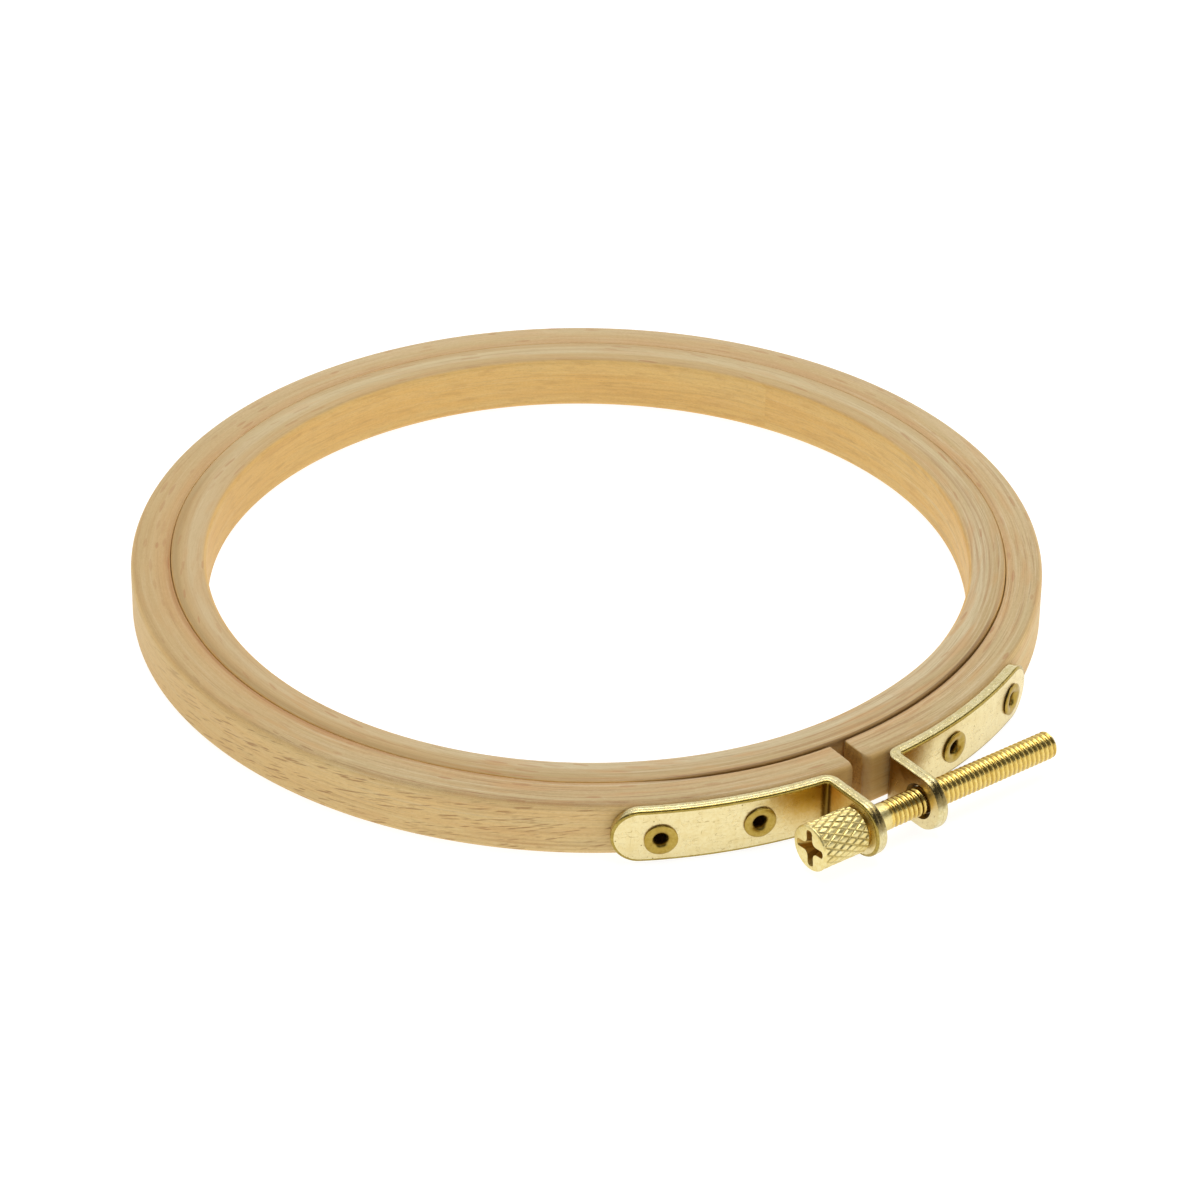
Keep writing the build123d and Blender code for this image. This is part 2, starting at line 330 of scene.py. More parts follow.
# ---- materials --------------------------------------------------------------
def wood(name, profile, wall_a, wall_b, fleck_zone=None, fleck_amount=1.0, stain=None, gold=None, smudge=0.0, shade=None, seam=None, turned=None, seed=0.0):
    """Sanded beech. profile: (radius, colour) stops across the top; wall_a and wall_b: the two tones of the walls;
    turned: (direction, cosines, profile) where the strip was cut across other rings, so the bands lie otherwise."""
    g = Nodes(name)
    s, r, z = g.split(g.attr("grain"))
    top = g.attr("topness", "Fac")
    # the grain lines wander a little and run slightly off the strip's edges
    drift = g.noise(g.join(g.math("MULTIPLY", s, 1 / 46.0), g.math("MULTIPLY", r, 0.05), seed), 1.0, 1.0)
    drift = g.math("SUBTRACT", drift, 0.5)
    rw = g.math("MULTIPLY_ADD", drift, 1.7, r)
    zw = g.math("MULTIPLY_ADD", drift, 2.4, z)

    def strands(length, width, offset, detail=2.0, rough=0.55):
        v = g.join(g.math("MULTIPLY", s, 1 / length), g.math("MULTIPLY", rw, 1 / width), g.math("MULTIPLY_ADD", zw, 1 / width, offset + seed))
        return g.noise(v, 1.0, detail, rough)

    broad = strands(58.0, 1.7, 3.1, 2.0)
    mid = strands(46.0, 0.52, 11.7, 3.0, 0.6)
    fine = strands(17.0, 0.19, 23.9, 2.0, 0.6)
    hair = strands(1.6, 0.07, 41.3, 1.0)
    fuzz = g.noise(g.join(g.math("MULTIPLY", s, 1 / 0.42), g.math("MULTIPLY", r, 1 / 0.2), g.math("MULTIPLY_ADD", z, 1 / 0.2, seed)), 1.0, 2.0, 0.6)
    blotch = g.noise(g.join(g.math("MULTIPLY", s, 1 / 9.0), g.math("MULTIPLY", rw, 1 / 1.6), g.math("MULTIPLY_ADD", zw, 1 / 1.5, 5.0 + seed)), 1.0, 2.5)
    slow = g.noise(g.join(g.math("MULTIPLY", s, 1 / 34.0), g.math("MULTIPLY", r, 1 / 9.0), g.math("MULTIPLY_ADD", z, 1 / 7.0, 57.0 + seed)), 1.0, 1.0)

    # across the top: bands that follow the strip
    r_lo, r_hi = profile[0][0], profile[-1][0]
    across = g.math("MULTIPLY_ADD", g.math("SUBTRACT", broad, 0.5), 2.4, rw)
    fac = g.span(across, r_lo, r_hi, 0.0, 1.0, eased=False)
    top_col = g.ramp(fac, [((p - r_lo) / (r_hi - r_lo), c) for p, c in profile], "LINEAR")
    rx, ry, rz = g.split(g.attr("rest"))
    if turned is not None:
        aim, cos_a, cos_b, other = turned
        along = g.math("MULTIPLY_ADD", rx, math.cos(math.radians(aim)), g.math("MULTIPLY", ry, math.sin(math.radians(aim))))
        second = g.ramp(fac, [((p - r_lo) / (r_hi - r_lo), c) for p, c in other], "LINEAR")
        top_col = g.mix(g.span(g.math("DIVIDE", along, r), cos_a, cos_b), top_col, second)
    # the walls get warmer, more saturated colours than the tops, and the tops paler, greyer ones: painted light,
    # standing in for warm light bounced onto the walls and for the sheen on the tops; the bands across the top are the
    # wood's own
    wall_col = g.mix(g.span(g.math("ADD", g.math("MULTIPLY", broad, 0.6), g.math("MULTIPLY", slow, 0.4)), 0.36, 0.64), wall_a, wall_b)
    col = g.mix(top, wall_col, top_col)

    # streaks, each a little darker and redder, or paler and greyer
    calm = g.span(ry, -35.0, 25.0, 1.0, 0.50)
    depth = g.math("MULTIPLY", g.math("MULTIPLY_ADD", top, 0.42, 0.58), calm)
    col = g.mix(g.math("MULTIPLY", g.math("MULTIPLY", g.span(mid, 0.52, 0.68), 0.54), depth), col, lin(172, 127, 78))
    col = g.mix(g.math("MULTIPLY", g.math("MULTIPLY", g.span(mid, 0.46, 0.30), 0.44), depth), col, lin(221, 204, 166))
    col = g.mix(g.math("MULTIPLY", g.math("MULTIPLY", g.span(fine, 0.52, 0.74), 0.46), depth), col, lin(157, 116, 71))
    col = g.mix(g.math("MULTIPLY", g.math("MULTIPLY", g.span(fine, 0.47, 0.24), 0.34), depth), col, lin(228, 211, 175))
    col = g.mix(g.math("MULTIPLY", g.span(hair, 0.52, 0.80), 0.22), col, lin(150, 110, 68))
    col = g.mix(g.math("MULTIPLY", g.span(fuzz, 0.50, 0.75), 0.16), col, lin(160, 122, 78))
    col = g.mix(g.math("MULTIPLY", g.span(fuzz, 0.50, 0.25), 0.14), col, lin(232, 214, 178))
    # warm and greyish patches
    col = g.mix(g.math("MULTIPLY", g.math("MULTIPLY", g.span(blotch, 0.51, 0.70), 0.42), depth), col, lin(206, 157, 99))
    col = g.mix(g.math("MULTIPLY", g.math("MULTIPLY", g.span(blotch, 0.47, 0.28), 0.34), depth), col, lin(196, 177, 128))

    if gold is not None:
        # a stretch of the strip that has more colour, with painted shade on its top beside the seat
        a, b, c, d = gold
        there = g.math("MULTIPLY", g.span(s, a, b), g.span(s, d, c))
        col = g.mix(g.math("MULTIPLY", there, 0.30), col, lin(203, 160, 94))
        # painted shade: the band of the top beside the seat is darker in this stretch
        col = g.mix(g.math("MULTIPLY", g.math("MULTIPLY", there, top), g.math("MULTIPLY", g.span(rw, 57.5, 58.2), g.span(rw, 59.6, 59.0, 0.0, 0.45))), col, lin(158, 124, 68))
    if smudge > 0:
        soft = g.noise(g.join(g.math("MULTIPLY", s, 1 / 5.0), 0.0, g.math("MULTIPLY_ADD", z, 1 / 0.8, 71.0 + seed)), 1.0, 2.0)
        col = g.mix(g.math("MULTIPLY", g.math("MULTIPLY", g.span(soft, 0.50, 0.72), smudge), g.math("SUBTRACT", 1.0, top)), col, lin(195, 148, 84))

    # the rays of the wood: spindle-shaped marks on the walls, mostly where the strip was cut on the flat
    tilt = g.math("MULTIPLY_ADD", s, -0.12, z)
    side = g.math("SUBTRACT", 1.0, top)
    across_face = g.math("ADD", g.math("MULTIPLY", side, tilt), g.math("MULTIPLY", top, g.math("MULTIPLY_ADD", s, -0.015, r)))
    if fleck_zone is not None:
        a, b, c, d = fleck_zone
        zone = g.math("MULTIPLY", g.span(s, a, b), g.span(s, d, c))
        zone = g.math("MULTIPLY_ADD", zone, 0.78, 0.22)
    else:
        zone = 0.4
    off_top = g.math("MULTIPLY_ADD", g.math("MULTIPLY", top, g.span(r, 63.9, 63.2)), -0.80, 1.0)
    fade = g.math("MULTIPLY", g.math("MULTIPLY", zone, off_top), fleck_amount)
    m1, _, _, t1 = g.flecks(s, across_face, 4.2, 0.85, 0.34, 1.10, 0.115, seed=seed + 3.3, lean=0.05)
    fibre = g.noise(g.join(g.math("MULTIPLY", s, 1 / 3.0), g.math("MULTIPLY", g.math("MULTIPLY_ADD", s, -0.05, across_face), 1 / 0.29), seed + 17.9), 1.0, 1.5, 0.4)
    m3, _, _, t3 = g.flecks(s, across_face, 1.1, 0.55, 0.45, 0.30, 0.050, seed=seed + 31.1)
    m1 = g.math("MULTIPLY", m1, g.math("MULTIPLY_ADD", t1, 0.40, 0.22))
    m2 = g.math("MULTIPLY", g.span(fibre, 0.60, 0.72), 0.62)
    m3 = g.math("MULTIPLY", m3, 0.18)
    dash = g.math("MULTIPLY", g.math("MAXIMUM", g.math("MAXIMUM", m1, m2), m3), fade, clamp=True)
    # an odd red-brown spot on the sawn edges
    m4, _, _, t4 = g.flecks(s, g.math("ADD", r, z), 5.0, 1.3, 0.30, 1.3, 0.26, seed=seed + 47.0)
    spot = g.math("MULTIPLY", g.math("MULTIPLY", m4, top), g.math("MULTIPLY_ADD", t4, 0.34, 0.10))
    col = g.mix(spot, col, lin(176, 112, 62))
    if stain is not None:
        # a longer stain of the same colour along one edge of the top
        a, b, edge_r = stain
        along = g.math("MULTIPLY", g.span(s, a, a + 22.0), g.span(s, b, b - 22.0))
        near = g.span(g.math("ABSOLUTE", g.math("SUBTRACT", rw, edge_r)), 0.75, 0.15)
        col = g.mix(g.math("MULTIPLY", g.math("MULTIPLY", along, near), g.span(mid, 0.38, 0.60, 0.10, 0.55)), col, lin(178, 120, 68))
    col = g.mix(dash, col, lin(146, 95, 46))
    if shade is not None:
        # painted shade beside the saw cut, and on the outer hoop's wall a painted reflection of the brass: (reach from
        # its middle, radii between which it comes in, strength, colour)
        for reach, fade_from, r_a, r_b, strength, tone in shade:
            by = g.math("MULTIPLY", g.span(g.math("ABSOLUTE", rx), reach, fade_from), g.span(ry, -40.0, -50.0))
            by = g.math("MULTIPLY", by, g.math("MULTIPLY", g.span(r, r_a, r_b), g.math("SUBTRACT", 1.0, top)))
            col = g.mix(g.math("MULTIPLY", by, strength), col, tone)
        # painted shade along the open seam between the hoops: the edges beside the gap are darker where it stands open
        ra, rb = seam
        open_here = g.math("MULTIPLY", g.span(ry, -42.0, -54.0), g.span(rx, -32.0, -18.0))
        seam_shade = g.math("MULTIPLY", g.math("MULTIPLY", g.span(r, ra, rb), g.span(g.math("ABSOLUTE", rz), 2.4, 3.5)), open_here)
        col = g.mix(g.math("MULTIPLY", seam_shade, 0.58), col, lin(116, 80, 42))

    g.put(g.bsdf.inputs["Base Color"], col)
    rough = g.math("MULTIPLY_ADD", fine, 0.16, 0.52)
    g.put(g.bsdf.inputs["Roughness"], rough)
    g.bsdf.inputs["Specular IOR Level"].default_value = 0.34
    height = g.math("ADD", g.math("MULTIPLY", fine, 0.55), g.math("MULTIPLY", hair, 0.35))
    height = g.math("ADD", height, g.math("MULTIPLY", fuzz, 0.3))
    height = g.math("SUBTRACT", height, g.math("MULTIPLY", dash, 0.9))
    n1 = g.bump(height, 0.6, 0.035)
    n2 = g.bump(mid, 0.4, 0.08, n1)
    g.put(g.bsdf.inputs["Normal"], n2)
    return g.mat


def end_grain(name):
    """The sawn faces of the cut: open end grain with the saw's fine lines across it."""
    g = Nodes(name)
    x, y, z = g.split(g.attr("rest"))
    p = g.join(g.math("MULTIPLY", x, 0.3), y, z)
    rings = g.noise(g.join(0.0, g.math("MULTIPLY", g.math("MULTIPLY_ADD", z, 0.25, y), 1.3), g.math("MULTIPLY", z, 0.16)), 1.0, 2.0)
    pores, prnd = g.cells(p, "3D", 5.2)
    pore = g.span(pores, 0.36, 0.12)
    grit = g.noise(p, 9.0, 3.0, 0.7)
    saw = g.noise(g.join(0.0, g.math("MULTIPLY", y, 0.5), g.math("MULTIPLY", z, 7.0)), 1.0, 2.0, 0.6)
    col = g.mix(g.span(rings, 0.3, 0.7), lin(188, 146, 74), lin(210, 168, 92))
    col = g.mix(g.math("MULTIPLY", g.span(saw, 0.5, 0.8), 0.4), col, lin(126, 92, 52))
    col = g.mix(g.math("MULTIPLY", pore, 0.55), col, lin(98, 68, 36))
    col = g.mix(g.math("MULTIPLY", g.span(grit, 0.45, 0.8), 0.35), col, lin(190, 152, 96))
    g.put(g.bsdf.inputs["Base Color"], col)
    g.put(g.bsdf.inputs["Roughness"], g.math("MULTIPLY_ADD", grit, 0.2, 0.68))
    g.bsdf.inputs["Specular IOR Level"].default_value = 0.25
    h = g.math("ADD", g.math("MULTIPLY", saw, 0.7), g.math("SUBTRACT", g.math("MULTIPLY", grit, 0.6), pore))
    g.put(g.bsdf.inputs["Normal"], g.bump(h, 0.8, 0.06))
    return g.mat


def brass(name, base, pale, warm, rough, scuffs=1.0, grain=0.02, streak=None, painted_dark_reflections=(), grooves=None):
    """Bare brass. base, pale and warm are the tones it drifts between; streak gives the fineness of rolled or
    sheared lines along x, y and z; tarnish lists painted dark reflections and shade as (place, share of the height that
    counts, full to this distance, none past this one, strength, colour); grooves=(radius, deeper radius, from and to
    along the screw, strength, colour)."""
    g = Nodes(name)
    v = g.attr("rest")
    x, y, z = g.split(v)
    cloud = g.noise(v, 0.42, 3.0, 0.6)
    mottle = g.noise(v, 2.1, 4.0, 0.62, distortion=0.4)
    grit = g.noise(v, 11.0, 2.0, 0.6)
    col = g.mix(g.span(mottle, 0.34, 0.68), base, pale)
    col = g.mix(g.math("MULTIPLY", g.span(cloud, 0.46, 0.72), 0.55), col, warm)
    # tarnish specks
    dist, rnd = g.cells(v, "3D", 1.35)
    ra, rb, rc = g.split(rnd)
    speck = g.math("MULTIPLY", g.span(dist, 0.2, 0.06), g.span(ra, 0.80, 0.82))
    speck = g.math("MULTIPLY", speck, g.math("MULTIPLY_ADD", rb, 0.6, 0.2))
    col = g.mix(g.math("MULTIPLY", speck, 0.75 * scuffs), col, lin(120, 92, 40))
    # scratches: long thin lines in two directions, broken up
    warp = g.noise(v, 0.23, 2.0)
    lines = None
    for k, (ax, ay, az) in enumerate(((0.30, 0.30, 2.3), (1.9, 0.5, 0.55), (0.5, 0.4, 1.2))):
        d, _ = g.cells(g.join(g.math("MULTIPLY_ADD", warp, 2.0 + k, g.math("MULTIPLY", x, ax)), g.math("MULTIPLY_ADD", warp, -1.7, g.math("MULTIPLY", y, ay)), g.math("MULTIPLY", z, az)), "3D", 0.62 + 0.21 * k, "DISTANCE_TO_EDGE")
        one = g.math("MULTIPLY", g.span(d, 0.014, 0.003), g.span(g.noise(v, 0.8 + 0.3 * k, 1.0), 0.52, 0.62))
        lines = one if lines is None else g.math("MAXIMUM", lines, one)
    col = g.mix(g.math("MULTIPLY", lines, 0.38 * scuffs), col, lin(150, 118, 58))
    if grooves is not None:
        # the grooves of the screw and of the knurl are made darker towards their bottoms
        r_hi, r_lo, from_a, to_a, strength, shade = grooves
        o = g.math("MULTIPLY_ADD", x, SIN, g.math("MULTIPLY_ADD", y, -COS, SCREW_Y * COS))
        a = g.math("MULTIPLY_ADD", x, COS, g.math("MULTIPLY_ADD", y, SIN, -SCREW_Y * SIN))
        radius = g.math("SQRT", g.math("MULTIPLY_ADD", o, o, g.math("MULTIPLY", z, z)))
        low = g.math("MULTIPLY", g.span(radius, r_hi, r_lo), g.math("MULTIPLY", g.span(a, from_a, from_a + 0.3), g.span(a, to_a, to_a - 0.2)))
        col = g.mix(g.math("MULTIPLY", low, strength), col, shade)
    # painted dark reflections and shade: the brass is darkened round each place, where it mirrors the shaded table and
    # the parts beside it
    for place, tall, near, far, strength, shade in painted_dark_reflections:
        away = g.add("ShaderNodeVectorMath", operation="DISTANCE")
        g.put(away.inputs[0], g.join(x, y, g.math("MULTIPLY", z, tall)))
        away.inputs[1].default_value = (place[0], place[1], place[2] * tall)
        spot = g.span(g.math("MULTIPLY_ADD", g.math("SUBTRACT", mottle, 0.5), min(1.6, 0.3 * far), away.outputs["Value"]), far, near)
        col = g.mix(g.math("MULTIPLY", spot, strength), col, shade)
    g.put(g.bsdf.inputs["Base Color"], col)
    g.bsdf.inputs["Metallic"].default_value = 1.0
    rr = g.math("MULTIPLY_ADD", mottle, 0.20, rough - 0.10)
    rr = g.math("MULTIPLY_ADD", cloud, 0.10, rr)
    rr = g.math("MULTIPLY_ADD", speck, 0.3, rr)
    g.put(g.bsdf.inputs["Roughness"], rr)
    h = g.math("ADD", g.math("MULTIPLY", mottle, 0.5), g.math("MULTIPLY", grit, 0.5))
    h = g.math("SUBTRACT", h, g.math("MULTIPLY", lines, 0.5 * scuffs))
    n = g.bump(h, 0.5, grain)
    if streak is not None:
        sx, sy, sz = streak
        rolled = g.noise(g.join(g.math("MULTIPLY", x, sx), g.math("MULTIPLY", y, sy), g.math("MULTIPLY", z, sz)), 1.0, 3.0, 0.65)
        n = g.bump(rolled, 0.45, grain * 2.0, n)
    g.put(g.bsdf.inputs["Normal"], n)
    return g.mat


# shade gives painted shade beside the saw cut (on the outer wall also a painted reflection of the brass); seam gives
# the radii of the painted shade along the open seam
BEECH_OUTER = wood(
    "beech_outer",
    [(59.2, lin(200, 160, 108)), (60.3, lin(205, 170, 117)), (61.2, lin(206, 179, 129)), (62.2, lin(200, 172, 121)), (63.1, lin(206, 181, 131)), (64.0, lin(193, 164, 112)), (64.8, lin(196, 162, 108))],
    lin(224, 188, 124), lin(224, 194, 132), fleck_zone=(262.0, 300.0, 352.0, 368.0), stain=(232.0, 322.0, 59.3),
    gold=(205.0, 240.0, 284.0, 318.0), shade=((6.0, 3.2, 64.0, 64.6, 0.60, lin(188, 146, 70)), (2.5, 1.5, 61.0, 63.6, 0.55, lin(158, 121, 68))), seam=(60.0, 59.75),
    turned=(42.0, -0.05, 0.62, ((59.2, lin(200, 160, 108)), (60.3, lin(205, 170, 117)), (61.4, lin(205, 175, 122)), (62.1, lin(207, 178, 126)),
                                (62.9, lin(211, 184, 136)), (63.9, lin(211, 185, 138)), (64.8, lin(205, 178, 128)))), seed=1.7)
BEECH_INNER = wood(
    "beech_inner",
    [(53.9, lin(205, 171, 115)), (54.8, lin(209, 186, 143)), (56.1, lin(211, 192, 150)), (56.9, lin(200, 173, 126)), (58.1, lin(191, 164, 113)), (58.9, lin(196, 166, 114)), (59.3, lin(199, 168, 116))],
    lin(229, 184, 105), lin(231, 192, 117), fleck_amount=0.35, smudge=0.35, gold=(72.0, 108.0, 176.0, 214.0),
    turned=(50.0, 0.0, 0.60, ((53.9, lin(205, 171, 115)), (54.6, lin(202, 169, 114)), (55.9, lin(203, 173, 118)), (56.6, lin(210, 188, 142)),
                              (57.8, lin(211, 189, 142)), (58.5, lin(203, 176, 126)), (59.3, lin(199, 168, 116)))),
    shade=((2.7, 0.7, 58.3, 58.8, 0.34, lin(124, 92, 56)),), seam=(58.72, 58.92), seed=8.3)
END_GRAIN = end_grain("beech_sawn_end")
# the strip's faces: painted dark reflections and shade near the left bend, along the bend and on the threaded lug's
# inner face by the wood
BRASS_FACE = brass("brass_strip_face", lin(226, 208, 153), lin(232, 217, 166), lin(220, 199, 138), 0.26, grain=0.026, streak=(0.25, 0.25, 5.0),
                   scuffs=1.5, painted_dark_reflections=(((-8.8, -66.0, 4.0), 1.0, 1.6, 8.6, 0.92, lin(194, 146, 22)), ((-6.55, -66.25, 0.0), 0.0, 0.45, 1.0, 0.92, lin(104, 76, 14)),
                                        ((4.5, -67.4, 3.2), 1.0, 3.2, 8.8, 0.96, lin(136, 96, 10))))
# the sheared edges: painted dark reflection on the rims of both lugs
BRASS_EDGE = brass("brass_strip_sheared_edge", lin(211, 196, 142), lin(222, 210, 163), lin(198, 180, 122), 0.17, scuffs=1.0, grain=0.030, streak=(5.0, 5.0, 0.6),
                   painted_dark_reflections=(((-5.3, -75.5, 2.8), 1.0, 1.3, 2.7, 0.82, lin(112, 92, 42)), ((5.2, -75.4, 2.8), 1.0, 1.3, 2.7, 0.82, lin(112, 92, 42))))
# the rolled-over edges are darker than the faces: painted dark reflection along the edge
BRASS_ROLL = brass("brass_strip_rolled_edge", lin(160, 138, 66), lin(178, 156, 82), lin(144, 120, 50), 0.20, scuffs=0.9, grain=0.04)
BRASS_RIVET = brass("brass_rivet_dull", lin(168, 141, 62), lin(184, 158, 80), lin(156, 124, 50), 0.28, scuffs=0.7)
# dark brass for the rivets' hollows and the countersink of the threaded lug: painted shade in these recesses
BRASS_HOLLOW_SHADE = brass("brass_hollow_painted_shade", lin(112, 86, 32), lin(128, 102, 44), lin(94, 70, 24), 0.42, scuffs=0.5)
BRASS_SCREW = brass("brass_screw_turned", lin(226, 195, 104), lin(236, 212, 130), lin(214, 178, 84), 0.20, scuffs=0.5,
                    grooves=(1.94, 1.81, -1.3, SCREW_TIP, 0.55, lin(150, 112, 30)))
BRASS_KNURL = brass("brass_screw_knurl", lin(228, 208, 136), lin(238, 224, 164), lin(216, 190, 108), 0.34, scuffs=0.6, grain=0.045,
                   grooves=(3.25, 3.10, HEAD_FACE + 0.3, HEAD_BACK - 0.2, 0.50, lin(150, 126, 50)))
# the cross recess is darker than the turned brass: painted shade in the recess, with a rougher finish
BRASS_RECESS = brass("brass_screw_recess", lin(196, 162, 84), lin(208, 178, 104), lin(176, 136, 62), 0.36, scuffs=0.6)


# ---- how the real hoops stand off true circles --------------------------------
def round_curve(points):
    """A smooth periodic curve through (degrees, value) points, as a function of degrees."""
    at = sorted(points)
    xs = [p[0] for p in at]
    ys = [p[1] for p in at]
    xs = [xs[-1] - 360.0] + xs + [xs[0] + 360.0]
    ys = [ys[-1]] + ys + [ys[0]]
    grid = np.arange(-180.0, 180.0, 0.5)
    v = np.interp(grid, xs, ys)
    w = np.hanning(11)
    w /= w.sum()
    v = np.convolve(np.concatenate([v[-5:], v, v[:5]]), w, "valid")

    def f(deg):
        d = (deg + 180.0) % 360.0 - 180.0
        return float(np.interp(d, grid, v, period=360.0))
    return f


# radius of the line where the two hoops meet, and how open it is
SEAT_LINE = round_curve([
    (-178, 58.88), (-150, 58.87), (-137, 58.96), (-129, 59.22), (-118, 59.17), (-112, 59.45), (-106, 59.60), (-100, 59.70), (-94, 59.66),
    (-87, 59.52), (-76, 59.53), (-60, 59.62), (-46, 59.67), (-36, 59.52), (-20, 59.40), (10, 59.35), (60, 59.32), (110, 59.30), (140, 59.20),
    (156, 59.08), (170, 58.92)])
SEAT_GAP = round_curve([
    (-176, 0.11), (-164, 0.08), (-150, 0.06), (-120, 0.07), (-112, 0.30), (-106, 0.48), (-92, 0.50), (-86, 0.42), (-66, 0.36), (-56, 0.24), (-46, 0.13),
    (-36, 0.07), (-26, 0.04), (20, 0.03), (120, 0.03), (136, 0.05), (148, 0.08), (170, 0.09)])



# how far the two edges along that line are worn round
SEAT_EASE = round_curve([
    (-178, 0.32), (-150, 0.27), (-130, 0.25), (-112, 0.30), (-90, 0.38), (-50, 0.38), (-36, 0.30), (-20, 0.16), (20, 0.11), (110, 0.11), (132, 0.14),
    (150, 0.30), (170, 0.32)])


# ---- the wooden hoops -------------------------------------------------------
def outer_hoop():
    """One strip from cut face to cut face, anticlockwise from the threaded side's end."""
    mid_r = (OUTER_BORE_R + OUTER_R) / 2
    end = math.degrees(math.asin(HALF_CUT / mid_r))

    def profile_at(t):
        return rounded_profile(OUTER_BORE_R, OUTER_R, SEAT_EASE(-90.0 + end + t), EASE_RIM, HALF_H)

    # distance of each section from its cut face, in degrees at mid radius; close together at the ends
    lead = [0.0, 0.035, 0.09, 0.17, 0.28, 0.42, 0.58, 0.76, 0.96, 1.2]
    body = np.linspace(1.6, 360.0 - 2 * end - 1.6, 716)
    total = 360.0 - 2 * end
    turn = np.array(lead + list(body) + [total - x for x in reversed(lead)])
    verts, ends = [], {}

    def section(t, pts):
        """The section t degrees on from the first cut face, through the given profile points."""
        th = -90.0 + end + t
        from_cut = min(t, total - t)
        right = t < total / 2
        tr = math.radians(th)
        d = from_cut + end
        if right:
            d_out = -0.10 * float(smooth(9, 1.2, d))
        else:
            d_out = 0.34 * float(smooth(5.4, 1.3, d))
        d_in = SEAT_LINE(th) - OUTER_BORE_R
        wave_out = -0.05 + 0.045 * float(ripple(tr, 12, (2, 3, 4, 7, 11)))
        if 5 < d < 31:
            wave_out *= 0.4
        wave_z = 0.035 * float(ripple(tr, 13, (3, 4, 6, 10)))
        # the corner between the outside and the cut face is worn round, more so on the threaded side
        along = math.radians(from_cut) * mid_r
        worn = 0.95 if right else 0.35
        ease_end = worn - math.sqrt(max(0.0, worn ** 2 - max(0.0, worn - along) ** 2))
        small = 0.16 - math.sqrt(max(0.0, 0.16 ** 2 - max(0.0, 0.16 - along) ** 2))
        out = []
        for r, z in pts:
            f = (r - OUTER_BORE_R) / (OUTER_R - OUTER_BORE_R)
            rr = r + (1 - f) * d_in + f * (d_out + wave_out)
            zz = z * (1 - abs(wave_z) * 0.1) - 0.01 * (1 if z > 0 else -1) * min(1.0, abs(z) / 4.0)
            if small > 0:
                rr += small * max(0.0, 1 - 3 * f)
                zz -= small * (1 if z > 0 else -1) * min(1.0, abs(z) / 3.5)
            if f > 0.5 and ease_end > 0:
                chip = 1.0 + 0.09 * math.sin(1.7 * z + 0.7) + 0.05 * math.sin(4.1 * z + 2.0)
                rr -= ease_end * chip * ((f - 0.5) / 0.5)
            # a square cut: the end sections are planes at x = +-HALF_CUT, not rays
            shift = math.degrees(math.asin(HALF_CUT / rr)) - end
            a = math.radians(th + (shift if right else -shift) * float(smooth(6.0, 0.0, from_cut)))
            out.append((rr * math.cos(a), rr * math.sin(a), zz))
        return out

    for t in turn:
        verts.extend(section(t, profile_at(t)))
    m = len(profile_at(0.0))
    faces, mats = [], []
    n = len(turn)
    for j in range(n - 1):
        for k in range(m):
            k2 = (k + 1) % m
            faces.append((j * m + k, (j + 1) * m + k, (j + 1) * m + k2, j * m + k2))
            mats.append(0)
    # the sawn faces: rings of the section shrinking to its middle, roughened by the saw
    c_r, rng = mid_r, np.random.default_rng(5)
    for t, first in ((0.0, 0), (total, (n - 1) * m)):
        sign = 1.0 if t == 0.0 else -1.0
        prof = profile_at(t)
        prev = [first + k for k in range(m)]
        for scale in (0.955, 0.88, 0.78, 0.66, 0.53, 0.40, 0.27, 0.14):
            pts = [(c_r + (r - c_r) * scale, z * scale) for r, z in prof]
            ring = []
            for (x, y, z), (r, zz) in zip(section(t, pts), pts):
                cut = 0.030 * math.sin(7.0 * z + 1.4 * r + sign) + 0.022 * math.sin(3.1 * z - 2.0 * r) + 0.016 * rng.standard_normal()
                x += sign * (0.045 + max(-0.04, cut)) * min(1.0, (1 - scale) / 0.1)
                ring.append(len(verts))
                verts.append((x, y, z))
            for k in range(m):
                k2 = (k + 1) % m
                faces.append((prev[k], prev[k2], ring[k2], ring[k]))
                mats.append(1)
            prev = ring
        mid = len(verts)
        verts.append(tuple(np.mean([verts[i] for i in prev], axis=0)))
        for k in range(m):
            faces.append((prev[k], prev[(k + 1) % m], mid))
            mats.append(1)
    return new_object("outer_hoop_wood", verts, faces, [BEECH_OUTER, END_GRAIN], mats)


def cut_rivet_holes(ob):
    """Shank holes and the seats of the flat inner heads, cut through the outer hoop."""
    verts, faces = [], []
    for side in (-1, 1):
        for deg, height in RIVETS[side]:
            a = math.radians(-90.0 + side * deg)
            axis = np.array([math.cos(a), math.sin(a), 0.0])
            across = np.array([-math.sin(a), math.cos(a), 0.0])
            prof = [(0.0, 57.5), (2.36, 57.5), (2.36, 60.17), (1.27, 60.17), (1.27, 67.0), (0.0, 67.0)]
            v, f, _ = turned(prof, UP * height, axis, across, UP, 40)
            faces.extend([tuple(i + len(verts) for i in g) for g in f])
            verts.extend(v)
    cutter = new_object("cutter", verts, faces, [])
    mod = ob.modifiers.new("holes", "BOOLEAN")
    mod.operation, mod.solver, mod.object = "DIFFERENCE", "EXACT", cutter
    with bpy.context.temp_override(object=ob, active_object=ob, selected_objects=[ob]):
        bpy.ops.object.modifier_apply(modifier=mod.name)
    me = cutter.data
    bpy.data.objects.remove(cutter)
    bpy.data.meshes.remove(me)


